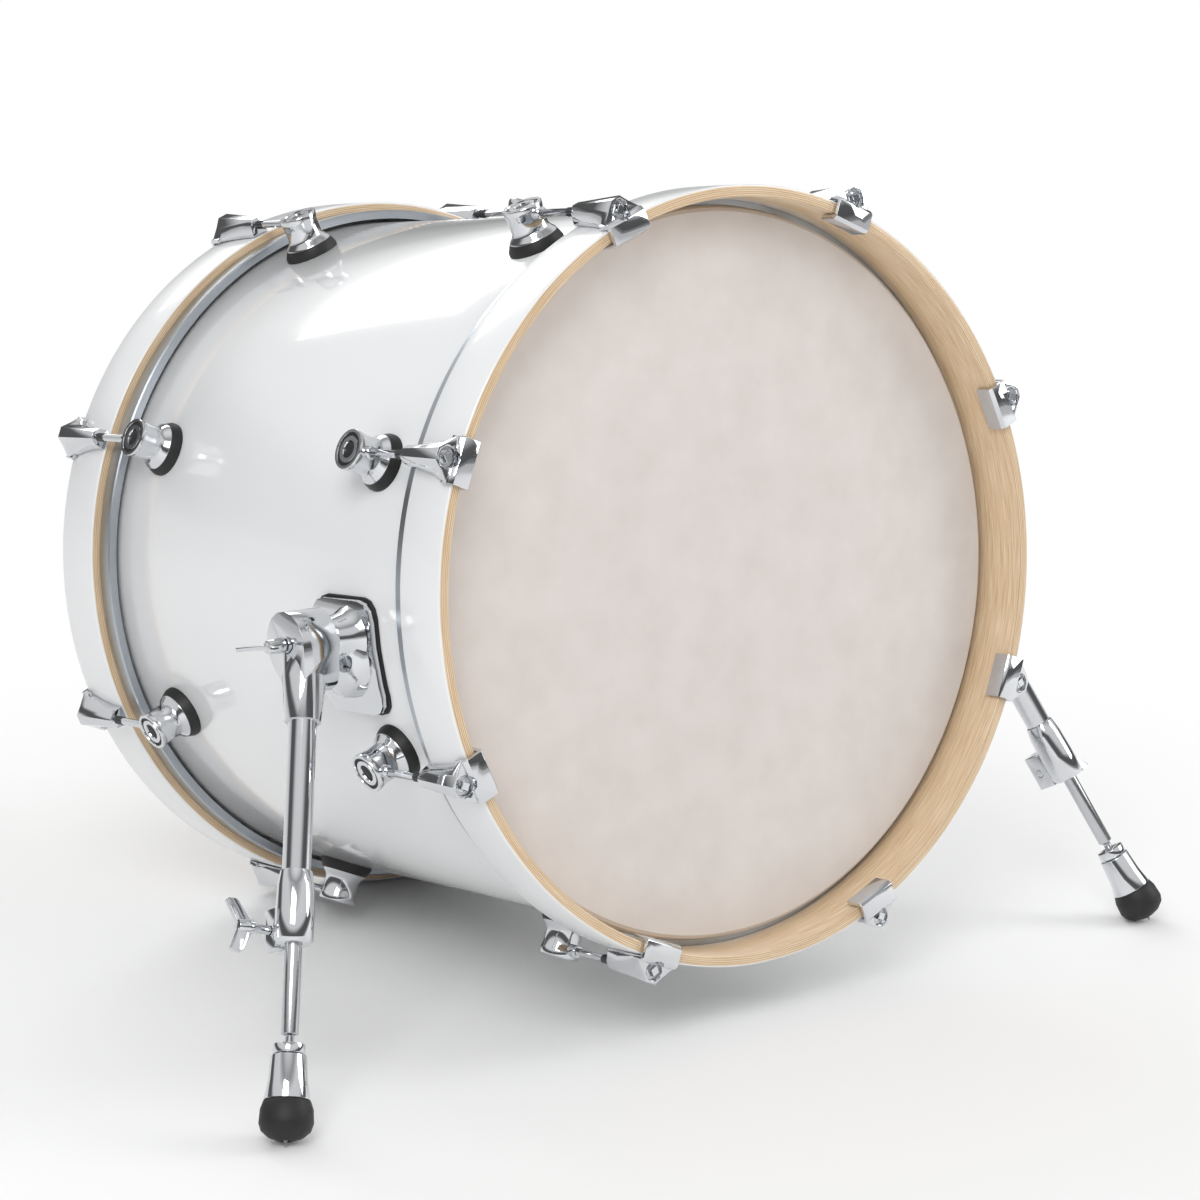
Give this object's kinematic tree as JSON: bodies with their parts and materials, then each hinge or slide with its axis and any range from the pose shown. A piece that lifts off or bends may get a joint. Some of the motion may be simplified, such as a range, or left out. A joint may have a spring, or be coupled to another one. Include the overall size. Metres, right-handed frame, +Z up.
{
  "type": "electronic bass drum",
  "caption": "Full-size bass drum with trigger: lacquered shell, wood hoops, mesh batter head, claw hooks, tube lugs and two folding, extending spur legs.",
  "frame": {"origin": "centre of the bounding box's bottom face, on the floor", "axes": "+Z up, +Y towards the player (rear, batter side), +X towards the drum's right as seen from the front"},
  "size_m": [0.8304, 0.5412, 0.5835],
  "materials": {
    "white_lacquer": "gloss white lacquer",
    "hoop_wood": "gloss white band, clear-coated ply edge",
    "coated_film": "lightly mottled coated film",
    "mesh_film": "woven mesh",
    "chrome": "polished",
    "steel": "bright turned",
    "aluminium": "satin",
    "rubber": "moulded black",
    "foam": "open-cell foam"
  },
  "bodies": {
    "drum_body": {"front_claw_1": "chrome", "front_claw_2": "chrome", "front_claw_3": "chrome", "front_claw_4": "chrome", "front_claw_5": "chrome", "front_claw_6": "chrome", "front_claw_7": "chrome", "front_claw_8": "chrome", "front_head": "coated_film", "front_hoop": "hoop_wood", "front_lug_1": "chrome", "front_lug_2": "chrome", "front_lug_3": "chrome", "front_lug_4": "chrome", "front_lug_5": "chrome", "front_lug_6": "chrome", "front_lug_7": "chrome", "front_lug_8": "chrome", "left_bracket_gasket": "rubber", "left_leg_bracket": "chrome", "output_jack": "steel", "rear_claw_1": "chrome", "rear_claw_2": "chrome", "rear_claw_3": "chrome", "rear_claw_4": "chrome", "rear_claw_5": "chrome", "rear_claw_6": "chrome", "rear_claw_7": "chrome", "rear_claw_8": "chrome", "rear_hoop": "hoop_wood", "rear_lug_1": "chrome", "rear_lug_2": "chrome", "rear_lug_3": "chrome", "rear_lug_4": "chrome", "rear_lug_5": "chrome", "rear_lug_6": "chrome", "rear_lug_7": "chrome", "rear_lug_8": "chrome", "rear_mesh_head": "mesh_film", "right_bracket_gasket": "rubber", "right_leg_bracket": "chrome", "sensor_lead": "rubber", "sensor_plate": "steel", "shell": "white_lacquer", "trigger_crossbar": "aluminium", "trigger_foam_cone": "foam"},
    "left_clamp_screw": {"left_clamp_wing_screw": "chrome"},
    "left_foot": {"left_foot_cup": "chrome", "left_rubber_foot": "rubber"},
    "left_extension": {"left_leg_rod": "steel"},
    "left_leg": {"left_leg_tube": "chrome", "left_memory_clamp": "chrome"},
    "left_wing_bolt": {"left_swivel_wing_bolt": "chrome"},
    "right_clamp_screw": {"right_clamp_wing_screw": "chrome"},
    "right_foot": {"right_foot_cup": "chrome", "right_rubber_foot": "rubber"},
    "right_extension": {"right_leg_rod": "steel"},
    "right_leg": {"right_leg_tube": "chrome", "right_memory_clamp": "chrome"},
    "right_wing_bolt": {"right_swivel_wing_bolt": "chrome"}
  },
  "joints": [
    {"name": "left_leg_fold", "type": "hinge", "parent": "drum_body", "child": "left_leg", "pos_m": [-0.295, -0.12391, 0.2867], "axis": [1, 0, 0], "range_deg": [-15, 105]},
    {"name": "left_leg_extend", "type": "slide", "parent": "left_leg", "child": "left_extension", "axis": [-0.3236, -0.4073, -0.854], "range_m": [-0.05, 0.05]},
    {"name": "left_foot_travel", "type": "slide", "parent": "left_extension", "child": "left_foot", "axis": [0.3236, 0.4073, 0.854], "range_m": [-0.006, 0.005]},
    {"name": "left_wing_bolt_turn", "type": "hinge", "parent": "left_leg", "child": "left_wing_bolt", "pos_m": [-0.295, -0.12391, 0.2867], "axis": [-1, 0, 0], "range_deg": [-180, 180]},
    {"name": "left_clamp_screw_turn", "type": "hinge", "parent": "left_leg", "child": "left_clamp_screw", "pos_m": [-0.35756, -0.18595, 0.11366], "axis": [-0.9462, 0.1393, 0.2921], "range_deg": [-180, 180]},
    {"name": "right_leg_fold", "type": "hinge", "parent": "drum_body", "child": "right_leg", "pos_m": [0.295, -0.12391, 0.2867], "axis": [1, 0, 0], "range_deg": [-15, 105]},
    {"name": "right_leg_extend", "type": "slide", "parent": "right_leg", "child": "right_extension", "axis": [0.3236, -0.4073, -0.854], "range_m": [-0.05, 0.05]},
    {"name": "right_foot_travel", "type": "slide", "parent": "right_extension", "child": "right_foot", "axis": [-0.3236, 0.4073, 0.854], "range_m": [-0.006, 0.005]},
    {"name": "right_wing_bolt_turn", "type": "hinge", "parent": "right_leg", "child": "right_wing_bolt", "pos_m": [0.295, -0.12391, 0.2867], "axis": [1, 0, 0], "range_deg": [-180, 180]},
    {"name": "right_clamp_screw_turn", "type": "hinge", "parent": "right_leg", "child": "right_clamp_screw", "pos_m": [0.35756, -0.18595, 0.11366], "axis": [0.9462, 0.1393, 0.2921], "range_deg": [-180, 180]}
  ]
}
